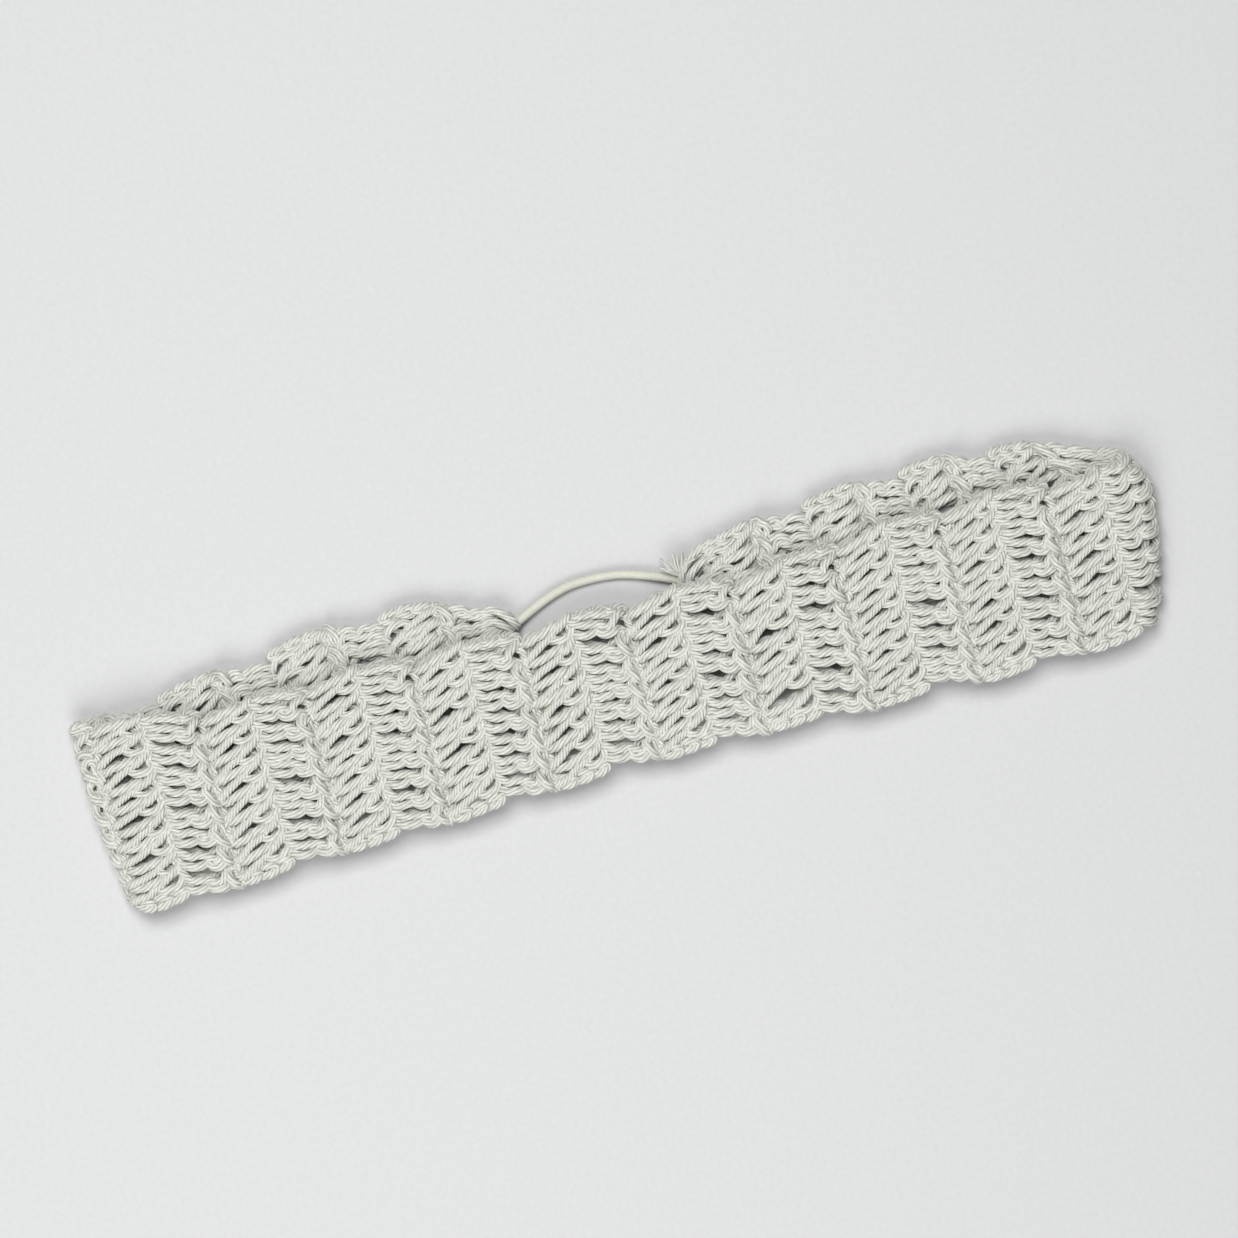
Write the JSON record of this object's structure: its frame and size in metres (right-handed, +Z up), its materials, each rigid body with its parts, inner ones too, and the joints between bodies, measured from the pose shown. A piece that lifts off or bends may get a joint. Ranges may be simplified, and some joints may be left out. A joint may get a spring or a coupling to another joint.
{
  "type": "crocheted headband",
  "caption": "Wide crocheted cotton headband, folded flat as a loop, whose gathered ends are joined by a short round elastic cord.",
  "frame": {"origin": "middle of the underside of the band as it lies flat, on the surface that it lies on", "axes": "+X along the band towards its right fold, +Y across the band towards the side where the elastic shows, +Z up from the surface through the back layer to the front layer"},
  "size_m": [0.2376, 0.052, 0.0091],
  "materials": {
    "cotton_yarn": "soft matte plied cotton yarn with a slight mercerised sheen",
    "elastic": "fine braided cover, matte"
  },
  "bodies": {
    "front_middle": {"front_row_08": "cotton_yarn", "front_row_09": "cotton_yarn", "front_row_10": "cotton_yarn", "front_row_11": "cotton_yarn", "front_row_12": "cotton_yarn"},
    "front_left_1": {"front_row_06": "cotton_yarn", "front_row_07": "cotton_yarn"},
    "front_left_2": {"front_row_04": "cotton_yarn", "front_row_05": "cotton_yarn"},
    "front_left_3": {"front_row_02": "cotton_yarn", "front_row_03": "cotton_yarn"},
    "front_left_4": {"front_row_01": "cotton_yarn"},
    "left_fold": {"left_fold_row": "cotton_yarn"},
    "back_left_4": {"back_left_row_01": "cotton_yarn"},
    "back_left_3": {"back_left_row_02": "cotton_yarn", "back_left_row_03": "cotton_yarn"},
    "back_left_2": {"back_left_row_04": "cotton_yarn", "back_left_row_05": "cotton_yarn"},
    "back_left_1": {"back_left_row_06": "cotton_yarn", "back_left_row_07": "cotton_yarn"},
    "back_middle": {"left_gathered_end": "cotton_yarn", "right_gathered_end": "cotton_yarn", "elastic_cord": "elastic", "yarn_tail": "cotton_yarn", "back_right_row_08": "cotton_yarn"},
    "front_right_1": {"front_row_13": "cotton_yarn", "front_row_14": "cotton_yarn"},
    "front_right_2": {"front_row_15": "cotton_yarn", "front_row_16": "cotton_yarn"},
    "front_right_3": {"front_row_17": "cotton_yarn", "front_row_18": "cotton_yarn"},
    "front_right_4": {"front_row_19": "cotton_yarn"},
    "right_fold": {"right_fold_row": "cotton_yarn"},
    "back_right_4": {"back_right_row_01": "cotton_yarn"},
    "back_right_3": {"back_right_row_02": "cotton_yarn", "back_right_row_03": "cotton_yarn"},
    "back_right_2": {"back_right_row_04": "cotton_yarn", "back_right_row_05": "cotton_yarn"},
    "back_right_1": {"back_right_row_06": "cotton_yarn", "back_right_row_07": "cotton_yarn"}
  },
  "joints": [
    {"name": "back_left_bend_1", "type": "hinge", "parent": "back_middle", "child": "back_left_1", "pos_m": [-0.0295, 0, 0.0044], "axis": [0, 1, 0], "range_deg": [0, 19]},
    {"name": "back_left_bend_2", "type": "hinge", "parent": "back_left_1", "child": "back_left_2", "pos_m": [-0.0531, 0, 0.0044], "axis": [0, 1, 0], "range_deg": [0, 19]},
    {"name": "back_left_bend_3", "type": "hinge", "parent": "back_left_2", "child": "back_left_3", "pos_m": [-0.0767, 0, 0.0044], "axis": [0, 1, 0], "range_deg": [0, 19]},
    {"name": "back_left_bend_4", "type": "hinge", "parent": "back_left_3", "child": "back_left_4", "pos_m": [-0.1003, 0, 0.0044], "axis": [0, 1, 0], "range_deg": [0, 19]},
    {"name": "left_fold_opening_back", "type": "hinge", "parent": "back_left_4", "child": "left_fold", "pos_m": [-0.1121, 0, 0], "axis": [0, -1, 0], "range_deg": [0, 76]},
    {"name": "left_fold_opening", "type": "hinge", "parent": "left_fold", "child": "front_left_4", "pos_m": [-0.1121, 0, 0.0091], "axis": [0, -1, 0], "range_deg": [0, 76]},
    {"name": "front_left_bend_4", "type": "hinge", "parent": "front_left_4", "child": "front_left_3", "pos_m": [-0.1003, 0, 0.0047], "axis": [0, 1, 0], "range_deg": [0, 19]},
    {"name": "front_left_bend_3", "type": "hinge", "parent": "front_left_3", "child": "front_left_2", "pos_m": [-0.0767, 0, 0.0047], "axis": [0, 1, 0], "range_deg": [0, 19]},
    {"name": "front_left_bend_2", "type": "hinge", "parent": "front_left_2", "child": "front_left_1", "pos_m": [-0.0531, 0, 0.0047], "axis": [0, 1, 0], "range_deg": [0, 19]},
    {"name": "front_left_bend_1", "type": "hinge", "parent": "front_left_1", "child": "front_middle", "pos_m": [-0.0295, 0, 0.0047], "axis": [0, 1, 0], "range_deg": [0, 19]},
    {"name": "back_right_bend_1", "type": "hinge", "parent": "back_middle", "child": "back_right_1", "pos_m": [0.0295, 0, 0.0044], "axis": [0, -1, 0], "range_deg": [0, 19]},
    {"name": "back_right_bend_2", "type": "hinge", "parent": "back_right_1", "child": "back_right_2", "pos_m": [0.0531, 0, 0.0044], "axis": [0, -1, 0], "range_deg": [0, 19]},
    {"name": "back_right_bend_3", "type": "hinge", "parent": "back_right_2", "child": "back_right_3", "pos_m": [0.0767, 0, 0.0044], "axis": [0, -1, 0], "range_deg": [0, 19]},
    {"name": "back_right_bend_4", "type": "hinge", "parent": "back_right_3", "child": "back_right_4", "pos_m": [0.1003, 0, 0.0044], "axis": [0, -1, 0], "range_deg": [0, 19]},
    {"name": "right_fold_opening_back", "type": "hinge", "parent": "back_right_4", "child": "right_fold", "pos_m": [0.1121, 0, 0], "axis": [0, 1, 0], "range_deg": [0, 76]},
    {"name": "right_fold_opening", "type": "hinge", "parent": "right_fold", "child": "front_right_4", "pos_m": [0.1121, 0, 0.0091], "axis": [0, 1, 0], "range_deg": [0, 76]},
    {"name": "front_right_bend_4", "type": "hinge", "parent": "front_right_4", "child": "front_right_3", "pos_m": [0.1003, 0, 0.0047], "axis": [0, -1, 0], "range_deg": [0, 19]},
    {"name": "front_right_bend_3", "type": "hinge", "parent": "front_right_3", "child": "front_right_2", "pos_m": [0.0767, 0, 0.0047], "axis": [0, -1, 0], "range_deg": [0, 19]},
    {"name": "front_right_bend_2", "type": "hinge", "parent": "front_right_2", "child": "front_right_1", "pos_m": [0.0531, 0, 0.0047], "axis": [0, -1, 0], "range_deg": [0, 19]}
  ],
  "couplings": [
    {"joint": "back_left_bend_1", "follows": "left_fold_opening", "ratio": 0.25},
    {"joint": "back_left_bend_2", "follows": "left_fold_opening", "ratio": 0.25},
    {"joint": "back_left_bend_3", "follows": "left_fold_opening", "ratio": 0.25},
    {"joint": "back_left_bend_4", "follows": "left_fold_opening", "ratio": 0.25},
    {"joint": "left_fold_opening_back", "follows": "left_fold_opening", "ratio": 1},
    {"joint": "front_left_bend_4", "follows": "left_fold_opening", "ratio": 0.25},
    {"joint": "front_left_bend_3", "follows": "left_fold_opening", "ratio": 0.25},
    {"joint": "front_left_bend_2", "follows": "left_fold_opening", "ratio": 0.25},
    {"joint": "front_left_bend_1", "follows": "left_fold_opening", "ratio": 0.25},
    {"joint": "back_right_bend_1", "follows": "left_fold_opening", "ratio": 0.25},
    {"joint": "back_right_bend_2", "follows": "left_fold_opening", "ratio": 0.25},
    {"joint": "back_right_bend_3", "follows": "left_fold_opening", "ratio": 0.25},
    {"joint": "back_right_bend_4", "follows": "left_fold_opening", "ratio": 0.25},
    {"joint": "right_fold_opening_back", "follows": "left_fold_opening", "ratio": 1},
    {"joint": "right_fold_opening", "follows": "left_fold_opening", "ratio": 1},
    {"joint": "front_right_bend_4", "follows": "left_fold_opening", "ratio": 0.25},
    {"joint": "front_right_bend_3", "follows": "left_fold_opening", "ratio": 0.25},
    {"joint": "front_right_bend_2", "follows": "left_fold_opening", "ratio": 0.25}
  ]
}
